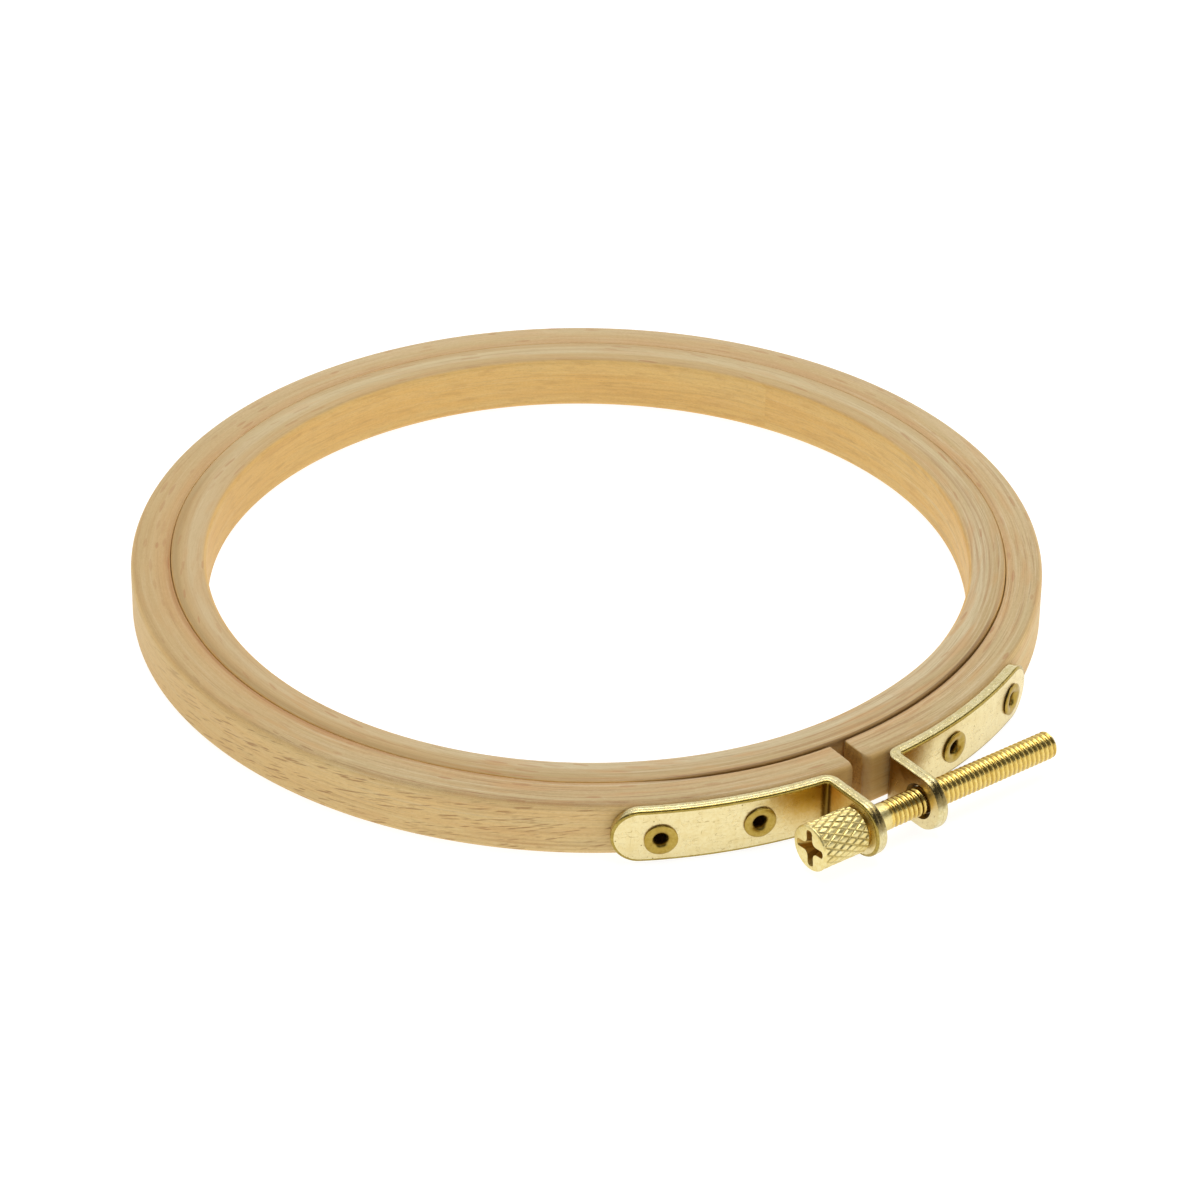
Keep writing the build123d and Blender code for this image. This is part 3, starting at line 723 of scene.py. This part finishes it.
def inner_hoop():
    """A closed ring: one strip glued end to end in a long scarf, which the columns of the mesh follow."""
    n = 720
    verts = []
    for j in range(n):
        t = 2 * math.pi * j / n
        prof = rounded_profile(WINDOW_R, INNER_R, EASE_WINDOW, SEAT_EASE(45.0 + math.degrees(t)), HALF_H)
        m = len(prof)
        for r, z in prof:
            f = (r - WINDOW_R) / (INNER_R - WINDOW_R)
            th = math.radians(26.0 + 19.0 * f) + t
            deg = (math.degrees(th) + 180.0) % 360.0 - 180.0
            out = SEAT_LINE(deg) - SEAT_GAP(deg) - INNER_R
            thin = float(smooth(-80.0, -60.0, deg)) * float(smooth(-26.0, -46.0, deg))
            win = 0.05 * float(ripple(th, 22, (2, 3, 5, 7))) + 0.04 + 0.33 * thin
            rr = r + f * out + (1 - f) * win
            zz = z * (1 - 0.004 * abs(float(ripple(th, 23, (3, 5, 8)))))
            verts.append((rr * math.cos(th), rr * math.sin(th), zz))
    faces = []
    for j in range(n):
        j2 = (j + 1) % n
        for k in range(m):
            k2 = (k + 1) % m
            faces.append((j * m + k, j2 * m + k, j2 * m + k2, j * m + k2))
    return new_object("inner_hoop_wood", verts, faces, [BEECH_INNER])


# ---- turned shapes ----------------------------------------------------------
def turned(prof, origin, axis, e1, e2, steps, face_mats=None):
    """Points, faces and material numbers of (radius, distance along axis) points turned about the axis.
    Points at radius 0 become one vertex."""
    verts, rows = [], []
    for r, h in prof:
        if r < 1e-6:
            rows.append([len(verts)] * steps)
            verts.append(origin + axis * h)
        else:
            row = []
            for k in range(steps):
                a = 2 * math.pi * k / steps
                row.append(len(verts))
                verts.append(origin + axis * h + r * (math.cos(a) * e1 + math.sin(a) * e2))
            rows.append(row)
    faces, mats = [], []
    for i in range(len(rows) - 1):
        for k in range(steps):
            k2 = (k + 1) % steps
            f = [rows[i][k], rows[i][k2], rows[i + 1][k2], rows[i + 1][k]]
            u = []
            for x in f:
                if x not in u:
                    u.append(x)
            if len(u) > 2:
                faces.append(tuple(u))
                mats.append(face_mats[i] if face_mats else 0)
    return verts, faces, mats


def rivet(name, angle, height, seed):
    """Semi-tubular rivet: rolled ring on the brass, deep hollow, flat head inside the wood."""
    a = math.radians(angle)
    axis = np.array([math.cos(a), math.sin(a), 0.0])
    across = np.array([-math.sin(a), math.cos(a), 0.0])
    origin = UP * height
    top = STRIP_R
    prof = [
        (0.0, 59.65), (1.6, 59.65), (2.1, 59.66), (2.26, 59.71), (2.3, 59.83), (2.3, 60.13), (2.25, 60.15), (1.25, 60.15),
        (1.25, top - 0.01), (1.88, top - 0.01), (1.97, top + 0.02), (2.12, top + 0.07), (2.23, top + 0.13), (2.29, top + 0.21), (2.28, top + 0.29), (2.2, top + 0.36),
        (2.06, top + 0.41), (1.88, top + 0.44), (1.70, top + 0.44), (1.51, top + 0.40), (1.34, top + 0.34), (1.18, top + 0.24),
        (1.05, top + 0.11), (0.95, top - 0.04), (0.89, top - 0.22), (0.85, top - 0.45), (0.83, top - 0.75), (0.81, top - 2.9), (0.60, top - 3.12), (0.0, top - 3.25),
    ]
    # the hollow takes the dark material: painted shade
    inside = [1 if i >= 25 else 0 for i in range(len(prof) - 1)]
    verts, faces, mats = turned(prof, origin, axis, across, UP, 72, inside)
    # the rolled end is never quite even
    rng = np.random.default_rng(seed)
    p1, p2, p3, p4 = rng.uniform(0, 6.28, 4)
    out = []
    for c in verts:
        h = float(c @ axis)
        if h > top + 0.1:
            u, w = float(c @ across), float(c[2]) - height
            t = math.atan2(w, u)
            k = min(1.0, (h - top - 0.1) / 0.3)
            d = 0.030 * math.sin(2 * t + p1) + 0.018 * math.sin(3 * t + p2) + 0.012 * math.sin(7 * t + p3) - 0.045
            side = 0.030 * math.sin(3 * t + p3) + 0.015 * math.sin(5 * t + p4) - 0.03
            c = c + axis * (d * k) + (across * math.cos(t) + UP * math.sin(t)) * (side * k)
        out.append(c)
    return new_object(name, out, faces, [BRASS_RIVET, BRASS_HOLLOW_SHADE], mats, sharp_deg=50.0)


# ---- the brass brackets -----------------------------------------------------
def bracket(name, side, hole_r, sink):
    """Flat strip with full-round ends and its holes, sheared edges all round, then bent to the rim and out into the lug."""
    bend_r = BEND_IN + STRIP_T / 2
    mid_r = OUTER_R + STRIP_T / 2
    # centre of the bend: clear of the rim and of the lug's far face by the inside radius
    along = side * (LUG_OUT + BEND_IN)
    p0 = SCREW_O + AXIS * along
    dot = float(p0 @ OUT)
    o_b = -dot - 0.0
    disc = (STRIP_R + BEND_IN) ** 2 - (float(p0 @ p0) - dot * dot)
    o_b = -dot + math.sqrt(disc)
    centre = p0 + OUT * o_b
    a_b = math.atan2(centre[1], centre[0])
    u0 = -centre / np.linalg.norm(centre)
    u1 = -side * AXIS
    beta = math.acos(float(np.clip(u0 @ u1, -1, 1)))
    side_dir = u1 - (u1 @ u0) * u0
    side_dir /= np.linalg.norm(side_dir)
    l_bend = bend_r * beta
    cut_deg = abs(math.degrees(a_b) + 90.0)
    s_far = -mid_r * math.radians(FAR_DEG - cut_deg)
    s_tip = l_bend - o_b + LUG_TIP
    s_hole = l_bend - o_b

    def place(s, t, w):
        if s <= 0:
            a = a_b + side * (-s) / mid_r
            r = mid_r + t
            return np.array([r * math.cos(a), r * math.sin(a), w])
        if s <= l_bend:
            f = s / bend_r
            p = centre + (bend_r - t) * (math.cos(f) * u0 + math.sin(f) * side_dir)
        else:
            p = centre + (bend_r - t) * u1 + (s - l_bend) * OUT
        return np.array([p[0], p[1], w])

    h, t2 = STRIP_W / 2, STRIP_T / 2
    # through the thickness: rolled-over edge, burnished band, a tear line, rough band, small burr edge
    roll = [(t2 - 0.34 * (1 - math.cos(math.radians(a))), 0.45 * (1 - math.sin(math.radians(a)))) for a in range(0, 91, 13)]
    edge = roll + [(0.14, 0.0), (0.09, 0.010), (0.05, 0.04), (0.0, 0.055), (-0.06, 0.035),
                   (-0.40, 0.045), (-t2 + 0.22, 0.06), (-t2 + 0.10, 0.09), (-t2 + 0.03, 0.14), (-t2, 0.21)]
    step = 0.42
    ends = 26
    rng = np.random.default_rng(3 if side < 0 else 4)

    def outline(inset):
        pts = []
        k0, k1 = s_far, s_tip
        m = int((k1 - k0) / step)
        for k in range(m + 1):
            pts.append((k0 + (k1 - k0) * k / m, -h + inset))
        for k in range(1, ends):
            a = math.radians(-90 + 180.0 * k / ends)
            pts.append((k1 + (h - inset) * math.cos(a), (h - inset) * math.sin(a)))
        for k in range(m + 1):
            pts.append((k1 - (k1 - k0) * k / m, h - inset))
        for k in range(1, ends):
            a = math.radians(90 + 180.0 * k / ends)
            pts.append((k0 + (h - inset) * math.cos(a), (h - inset) * math.sin(a)))
        return pts

    bm = bmesh.new()
    n_out = len(outline(0.0))
    rough = 0.018 * rng.standard_normal(n_out)
    rough = rough - np.roll(rough, 1) * 0.3
    loops = []
    for i, (t, inset) in enumerate(edge):
        row = []
        torn = 1.0 if t < 0.05 else (0.25 if t < t2 - 0.1 else 0.0)
        for k, (s, w) in enumerate(outline(inset)):
            j = rough[k] * torn
            nrm = 1.0 if w > 0 else -1.0
            row.append(bm.verts.new((s, t, max(-h, min(h, w - nrm * abs(j))))))
        loops.append(row)
    for i in range(len(loops) - 1):
        a, b = loops[i], loops[i + 1]
        for k in range(n_out):
            k2 = (k + 1) % n_out
            f = bm.faces.new((a[k], a[k2], b[k2], b[k]))
            # the rolled-over band takes the darker material: painted dark reflection
            f.material_index = 3 if i < len(roll) - 1 else 1
    # holes
    holes = [(s_hole, 0.0, hole_r, sink)]
    for deg, height in RIVETS[side]:
        holes.append((-mid_r * math.radians(deg - cut_deg), height, 1.26, 0.0))
    tops, bottoms = [loops[0]], [loops[-1]]
    for (s0, w0, r0, cs) in holes:
        c = max(cs, 0.12)
        lv = [(t2, c), (t2 - 0.09, 0.0), (t2 - 0.3, 0.0), (-t2 + 0.3, 0.0), (-t2 + 0.09, 0.0), (-t2, c)]
        if cs:
            lv = [(t2, c), (t2 - 0.12, c * 0.88), (t2 - 0.42, 0.04), (t2 - 0.5, 0.0), (-t2 + 0.5, 0.0), (-t2 + 0.42, 0.04), (-t2 + 0.12, c * 0.88), (-t2, c)]
        rows = []
        n = 56
        for t, grow in lv:
            rows.append([bm.verts.new((s0 + (r0 + grow) * math.cos(2 * math.pi * k / n), t, w0 + (r0 + grow) * math.sin(2 * math.pi * k / n))) for k in range(n)])
        for i in range(len(rows) - 1):
            for k in range(n):
                k2 = (k + 1) % n
                f = bm.faces.new((rows[i][k2], rows[i][k], rows[i + 1][k], rows[i + 1][k2]))
                # a countersink takes the dark material: painted shade
                f.material_index = 2 if cs else 1
        tops.append(rows[0])
        bottoms.append(rows[-1])
    bm.verts.index_update()
    for group in (tops, bottoms):
        edges = []
        for row in group:
            for k in range(len(row)):
                e = bm.edges.get((row[k], row[(k + 1) % len(row)]))
                edges.append(e)
        res = bmesh.ops.triangle_fill(bm, use_beauty=True, use_dissolve=False, edges=edges)
        for f in res["geom"]:
            if isinstance(f, bmesh.types.BMFace):
                f.material_index = 0
    # slice across so that it can bend
    cuts = list(np.arange(s_far - 3.9, 0.0, 0.55)) + list(np.linspace(0.0, l_bend, 17)) + [l_bend + 0.3, l_bend + 0.8]
    for c in cuts:
        bmesh.ops.bisect_plane(bm, geom=list(bm.verts) + list(bm.edges) + list(bm.faces), dist=1e-5, plane_co=(c, 0, 0), plane_no=(1, 0, 0))
    for v in bm.verts:
        s, t, w = v.co
        p = place(s, t, w)
        v.co = Vector((p * MM).tolist())
    bmesh.ops.remove_doubles(bm, verts=bm.verts, dist=1e-7)
    bmesh.ops.recalc_face_normals(bm, faces=bm.faces)
    me = bpy.data.meshes.new(name)
    bm.to_mesh(me)
    bm.free()
    me.materials.append(BRASS_FACE)
    me.materials.append(BRASS_EDGE)
    me.materials.append(BRASS_HOLLOW_SHADE)
    me.materials.append(BRASS_ROLL)
    ob = bpy.data.objects.new(name, me)
    bpy.context.scene.collection.objects.link(ob)
    finish_shading(ob, 30.0)
    return ob


# ---- the clamp screw --------------------------------------------------------
def on_screw(a, r, phi):
    """A point at distance a along the screw, radius r, angle phi about its axis (0 is inwards, 90 up)."""
    return SCREW_O + AXIS * a - OUT * (r * math.cos(phi)) + UP * (r * math.sin(phi))


def recess_outline(span, arm, corner):
    """Outline of the cross recess, as (x, y) points of one turn: straight arms, rounded tips, filleted inner corners."""
    hl, hw = span / 2, arm / 2
    tip = hw * 0.75
    quarter = []
    for k in range(7):
        a = math.radians(90.0 * k / 6 - 90 + 90)
        quarter.append((hl - tip + tip * math.cos(a), hw - tip + tip * math.sin(a)))
    c = hw + corner
    for k in range(9):
        a = math.radians(-90.0 - 90.0 * k / 8)
        quarter.append((c + corner * math.cos(a), c + corner * math.sin(a)))
    quarter = quarter[:16]
    # mirror of the first half about the diagonal closes the quarter at the next arm's tip
    tail = [(y, x) for x, y in reversed(quarter[:7])]
    q = quarter + tail
    pts = []
    for turn in range(4):
        ca, sa = math.cos(math.pi / 2 * turn), math.sin(math.pi / 2 * turn)
        for x, y in q:
            pts.append((ca * x - sa * y, sa * x + ca * y))
    out = []
    for p in pts:
        if not out or math.hypot(p[0] - out[-1][0], p[1] - out[-1][1]) > 1e-4:
            out.append(p)
    if math.hypot(out[0][0] - out[-1][0], out[0][1] - out[-1][1]) < 1e-4:
        out.pop()
    return out


def screw():
    verts, faces, mats = [], [], []

    def ring(rows):
        idx = []
        for p in rows:
            idx.append(len(verts))
            verts.append(p)
        return idx

    def skin(a, b, mat):
        n = len(a)
        for k in range(n):
            k2 = (k + 1) % n
            faces.append((a[k], a[k2], b[k2], b[k]))
            mats.append(mat)

    # head: knurled barrel between two bevels
    n_k, helix = 18, 0.54
    steps = n_k * 16
    period = 2 * math.pi * HEAD_R / n_k
    rng = np.random.default_rng(9)
    jitter = rng.uniform(-1, 1, (n_k, n_k))
    lean_u, lean_v = rng.uniform(-1, 1, (n_k, n_k)), rng.uniform(-1, 1, (n_k, n_k))

    def knurl(a, phi):
        u = (HEAD_R * phi + a * helix) / period
        v = (HEAD_R * phi - a * helix) / period
        gu, gv = abs(2 * (u % 1.0) - 1), abs(2 * (v % 1.0) - 1)
        hu, hv = float(smooth(0.58, 1.0, gu)), float(smooth(0.58, 1.0, gv))
        iu, iv = int(math.floor(u)) % n_k, int(math.floor(v)) % n_k
        cell = jitter[iu, iv]
        lean = 0.5 * (lean_u[iu, iv] * (u % 1.0 - 0.5) + lean_v[iu, iv] * (v % 1.0 - 0.5))
        deep = max(hu, hv)
        crown = 0.016 * (gu * gu + gv * gv)
        return 0.19 * deep + crown + (0.020 * (cell + 1.0) + 0.065 * (0.5 + lean)) * (1 - deep)

    gap = 0.24

    def barrel(a):
        """Radius of the plain head at a."""
        front, back = a - HEAD_FACE, HEAD_BACK - gap - a
        r = HEAD_R
        if front < 0.32:
            r = HEAD_R - 0.25 + 0.25 * math.sqrt(max(0.0, 1.0 - ((0.32 - front) / 0.32) ** 2))
        if back < 0.5:
            r = min(r, HEAD_R - (0.5 - back))
        return r

    rows = []
    back_at = HEAD_BACK - gap
    for a in [HEAD_FACE + x for x in (0.0, 0.008, 0.03, 0.07, 0.12, 0.18, 0.25, 0.32, 0.39)] + list(np.arange(HEAD_FACE + 0.455, back_at - 0.56, 0.067)) + [back_at - x for x in (0.53, 0.5, 0.44, 0.36, 0.28, 0.2, 0.1, 0.0)]:
        fade = float(smooth(0.16, 0.55, a - HEAD_FACE)) * float(smooth(0.02, 0.42, back_at - a))
        row = []
        for k in range(steps):
            phi = 2 * math.pi * k / steps
            r0 = barrel(a)
            r = min(r0, HEAD_R - knurl(a, phi) * fade) if fade > 0 else r0
            row.append(on_screw(a, r, phi))
        rows.append(ring(row))
    for i in range(len(rows) - 1):
        skin(rows[i], rows[i + 1], 1)
    front_loop = rows[0]
    # a narrower collar bears on the lug
    neck_a = ring([on_screw(back_at, 2.55, 2 * math.pi * k / steps) for k in range(steps)])
    neck_b = ring([on_screw(back_at + 0.05, 2.5, 2 * math.pi * k / steps) for k in range(steps)])
    neck_c = ring([on_screw(HEAD_BACK - 0.01, 2.5, 2 * math.pi * k / steps) for k in range(steps)])
    skin(rows[-1], neck_a, 0)
    skin(neck_a, neck_b, 0)
    skin(neck_b, neck_c, 0)
    back_loop = neck_c

    # back of the head, then the plain shank, the thread and the bevelled tip
    shank = 56
    thread_from, lead_in = -1.35, 0.75
    deep = 0.145
    prof = [(k / 12.0, 0.5 - 0.5 * math.cos(math.pi * k / 6.0)) for k in range(12)]
    per = len(prof)
    start, stop = thread_from - 0.3, SCREW_TIP
    turns = int(math.ceil((stop - start) / PITCH)) + 2
    n_rows = turns * per

    def radius(a, depth):
        r = SCREW_R - deep * depth * float(smooth(thread_from - 0.25, thread_from - 0.25 + lead_in, a))
        return min(r, SCREW_R - max(0.0, a - (SCREW_TIP - 0.45)))

    grid = []
    for j in range(n_rows + per + 1):
        f, d = prof[j % per]
        base = start - PITCH + PITCH * (j // per + f)
        row = []
        for i in range(shank):
            a = base + PITCH * i / shank
            a = min(max(a, start), stop)
            row.append(len(verts))
            verts.append(on_screw(a, radius(a, d if start < a < stop else 0.0), 2 * math.pi * i / shank))
        grid.append(row)
    for j in range(n_rows):
        for i in range(shank):
            if i + 1 < shank:
                f = (grid[j][i], grid[j][i + 1], grid[j + 1][i + 1], grid[j + 1][i])
            else:
                f = (grid[j][i], grid[j + per][0], grid[j + per + 1][0], grid[j + 1][i])
            faces.append(f)
            mats.append(0)
    plain_end = ring([on_screw(start, SCREW_R, 2 * math.pi * i / shank) for i in range(shank)])
    plain_mid = ring([on_screw(-3.6, SCREW_R - 0.01, 2 * math.pi * i / shank) for i in range(shank)])
    plain_start = ring([on_screw(HEAD_BACK - 0.01, SCREW_R, 2 * math.pi * i / shank) for i in range(shank)])
    skin(plain_mid, plain_end, 1)
    skin(plain_start, plain_mid, 1)
    tip_loop = ring([on_screw(stop, SCREW_R - 0.45, 2 * math.pi * i / shank) for i in range(shank)])
    tip_in = ring([on_screw(stop + 0.0, (SCREW_R - 0.45) * 0.55, 2 * math.pi * i / shank) for i in range(shank)])
    skin(tip_loop, tip_in, 0)
    faces.append(tuple(tip_in))
    mats.append(0)

    me = bpy.data.meshes.new("clamp_screw_brass")
    bm = bmesh.new()
    vs = [bm.verts.new(tuple(float(x) for x in p)) for p in verts]
    for f, mt in zip(faces, mats):
        try:
            nf = bm.faces.new([vs[i] for i in f])
            nf.material_index = mt
        except ValueError:
            pass
    # annulus behind the head, and the face with its cross recess
    def fill(loop_a, loop_b, mat):
        es = []
        for row in (loop_a, loop_b):
            for k in range(len(row)):
                p, q = row[k], row[(k + 1) % len(row)]
                e = bm.edges.get((p, q)) or bm.edges.new((p, q))
                es.append(e)
        res = bmesh.ops.triangle_fill(bm, use_beauty=True, use_dissolve=False, edges=es)
        for f in res["geom"]:
            if isinstance(f, bmesh.types.BMFace):
                f.material_index = mat

    fill([vs[i] for i in back_loop], [vs[i] for i in plain_start], 0)
    turn6 = math.radians(6.0)
    levels = []
    for k in range(7):
        d = 2.4 * k / 6
        f = k / 6.0
        span = 5.35 * (1 - 0.60 * f ** 0.9)
        arm = 1.12 * (1 - 0.35 * f)
        corner = 0.80 * (1 - 0.74 * f)
        row = []
        for x, y in recess_outline(span, arm, corner):
            # x runs outwards, y up; turned a little off upright
            xx, yy = x * math.cos(turn6) - y * math.sin(turn6), x * math.sin(turn6) + y * math.cos(turn6)
            p = SCREW_O + AXIS * (HEAD_FACE + d) + OUT * (xx + 0.05) + UP * (yy + 0.08)
            row.append(bm.verts.new(tuple(float(v) for v in p)))
        levels.append(row)
    fill([vs[i] for i in front_loop], levels[0], 1)
    # the recess walls take the darker material: painted shade
    for i in range(len(levels) - 1):
        n = len(levels[i])
        for k in range(n):
            k2 = (k + 1) % n
            f = bm.faces.new((levels[i][k], levels[i][k2], levels[i + 1][k2], levels[i + 1][k]))
            f.material_index = 2
    bottom = bm.verts.new(tuple(float(v) for v in SCREW_O + AXIS * (HEAD_FACE + 2.75)))
    n = len(levels[-1])
    for k in range(n):
        f = bm.faces.new((levels[-1][k], levels[-1][(k + 1) % n], bottom))
        f.material_index = 2
    for v in bm.verts:
        v.co = v.co * MM
    bmesh.ops.remove_doubles(bm, verts=bm.verts, dist=2e-7)
    bmesh.ops.dissolve_degenerate(bm, edges=bm.edges, dist=2e-7)
    bmesh.ops.recalc_face_normals(bm, faces=bm.faces)
    bm.to_mesh(me)
    bm.free()
    me.materials.append(BRASS_SCREW)
    me.materials.append(BRASS_KNURL)
    me.materials.append(BRASS_RECESS)
    ob = bpy.data.objects.new("clamp_screw_brass", me)
    bpy.context.scene.collection.objects.link(ob)
    finish_shading(ob, 32.0)
    return ob


# ---- build ------------------------------------------------------------------
outer = outer_hoop()
cut_rivet_holes(outer)
finish_shading(outer, 38.0)
grain_attribute(outer, -90.0)
store_rest(outer)
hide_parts("outer_hoop_left", "outer_hoop_right")
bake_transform(outer)

inner = inner_hoop()
grain_attribute(inner, 26.0, 19.0, WINDOW_R, INNER_R)
store_rest(inner)
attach(inner, "inner_hoop")
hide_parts("inner_hoop")

left = bracket("head_side_bracket_brass", -1, 2.15, 0.0)
store_rest(left)
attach(left, "fixed_end")
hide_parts("head_side_bracket")
right = bracket("threaded_bracket_brass", 1, 2.05, 0.50)
store_rest(right)
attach(right, "free_end")
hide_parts("threaded_bracket")

for seed, (node, side, place, body) in enumerate((
        ("rivet_head_side_near", -1, 0, "fixed_end"),
        ("rivet_head_side_far", -1, 1, "fixed_end"),
        ("rivet_threaded_side_near", 1, 0, "free_end"),
        ("rivet_threaded_side_far", 1, 1, "free_end"))):
    deg, height = RIVETS[side][place]
    rv = rivet(node + "_brass", -90.0 + side * deg, height, 31 + seed)
    store_rest(rv)
    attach(rv, body)
    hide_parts(node)

bolt = screw()
store_rest(bolt)
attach(bolt, "clamp_screw")
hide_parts("clamp_screw")


# ---- stage, light and camera ------------------------------------------------
def floor():
    g = Nodes("white_table")
    g.bsdf.inputs["Base Color"].default_value = (0.35, 0.35, 0.35, 1)
    g.bsdf.inputs["Roughness"].default_value = 0.9
    g.bsdf.inputs["Specular IOR Level"].default_value = 0.1
    g.bsdf.inputs["Emission Color"].default_value = (1, 1, 1, 1)
    g.bsdf.inputs["Emission Strength"].default_value = 0.88
    s = 3000.0
    z = -HALF_H - 0.05
    ob = new_object("table_top", [(-s, -s, z), (s, -s, z), (s, s, z), (-s, s, z)], [(0, 1, 2, 3)], [g.mat])


def world():
    """A studio with pale walls all round, a bright ceiling at the back right and an unlit one at the front and left."""
    w = bpy.data.worlds.new("studio")
    bpy.context.scene.world = w
    w.use_nodes = True
    nt = w.node_tree
    bg = nt.nodes["Background"]
    tc = nt.nodes.new("ShaderNodeTexCoord")
    nor = nt.nodes.new("ShaderNodeVectorMath")
    nor.operation = "NORMALIZE"
    nt.links.new(tc.outputs["Generated"], nor.inputs[0])
    sep = nt.nodes.new("ShaderNodeSeparateXYZ")
    nt.links.new(nor.outputs[0], sep.inputs[0])

    def rng(val, a, b, c, d):
        n = nt.nodes.new("ShaderNodeMapRange")
        n.interpolation_type = "SMOOTHSTEP"
        nt.links.new(val, n.inputs["Value"])
        for k, v in (("From Min", a), ("From Max", b), ("To Min", c), ("To Max", d)):
            n.inputs[k].default_value = v
        return n.outputs["Result"]

    def mul(a, b):
        n = nt.nodes.new("ShaderNodeMath")
        n.operation = "MULTIPLY"
        for s, v in zip(n.inputs, (a, b)):
            if isinstance(v, float):
                s.default_value = v
            else:
                nt.links.new(v, s)
        return n.outputs[0]

    def add(a, b):
        n = mul(a, b).node
        n.operation = "ADD"
        return n.outputs[0]

    x, y, z = sep.outputs
    low = rng(z, 0.45, 0.33, 0.0, 1.15)
    ceiling = mul(rng(y, 0.08, 0.25, 0.0, 0.76), rng(x, -0.50, -0.15, 0.0, 1.0))
    high = mul(rng(z, 0.33, 0.45, 0.0, 1.0), add(ceiling, 0.11))
    # a little brighter from the right than from the left
    tilt = nt.nodes.new("ShaderNodeVectorMath")
    tilt.operation = "DOT_PRODUCT"
    nt.links.new(nor.outputs[0], tilt.inputs[0])
    tilt.inputs[1].default_value = (0.113, -0.041, 0.0)
    bg.inputs["Color"].default_value = (1, 1, 1, 1)
    nt.links.new(mul(add(low, high), add(tilt.outputs["Value"], 1.0)), bg.inputs["Strength"])


def softbox(name, loc, target, size, power, color=(1, 1, 1)):
    light = bpy.data.lights.new(name, "AREA")
    light.shape = "RECTANGLE"
    light.size, light.size_y = size
    light.energy = power
    light.color = color
    ob = bpy.data.objects.new(name, light)
    bpy.context.scene.collection.objects.link(ob)
    ob.location = loc
    ob.rotation_euler = (Vector(target) - Vector(loc)).to_track_quat("-Z", "Y").to_euler()
    return ob


floor()
world()
softbox("softbox_top", (0.22, 0.20, 1.30), (0, 0, 0), (1.1, 0.9), 11.0)

cam = bpy.data.cameras.new("camera")
cam.sensor_width = 36.0
cam.sensor_fit = "HORIZONTAL"
cam.lens = 146.19
cam.clip_start, cam.clip_end = 0.02, 20.0
cam_ob = bpy.data.objects.new("camera", cam)
bpy.context.scene.collection.objects.link(cam_ob)
rt, upv, fw = Vector((0.826398, -0.562973, 0.011762)), Vector((0.292463, 0.446975, 0.845388)), Vector((0.481188, 0.695187, -0.534022))
m = Matrix.Identity(4)
for i in range(3):
    m[i][0], m[i][1], m[i][2] = rt[i], upv[i], -fw[i]
m[0][3], m[1][3], m[2][3] = -0.33437, -0.48651, 0.36796
cam_ob.matrix_world = m
bpy.context.scene.camera = cam_ob
bpy.context.scene.view_settings.view_transform = "Standard"
bpy.context.scene.view_settings.look = "None"

bpy.context.view_layer.update()
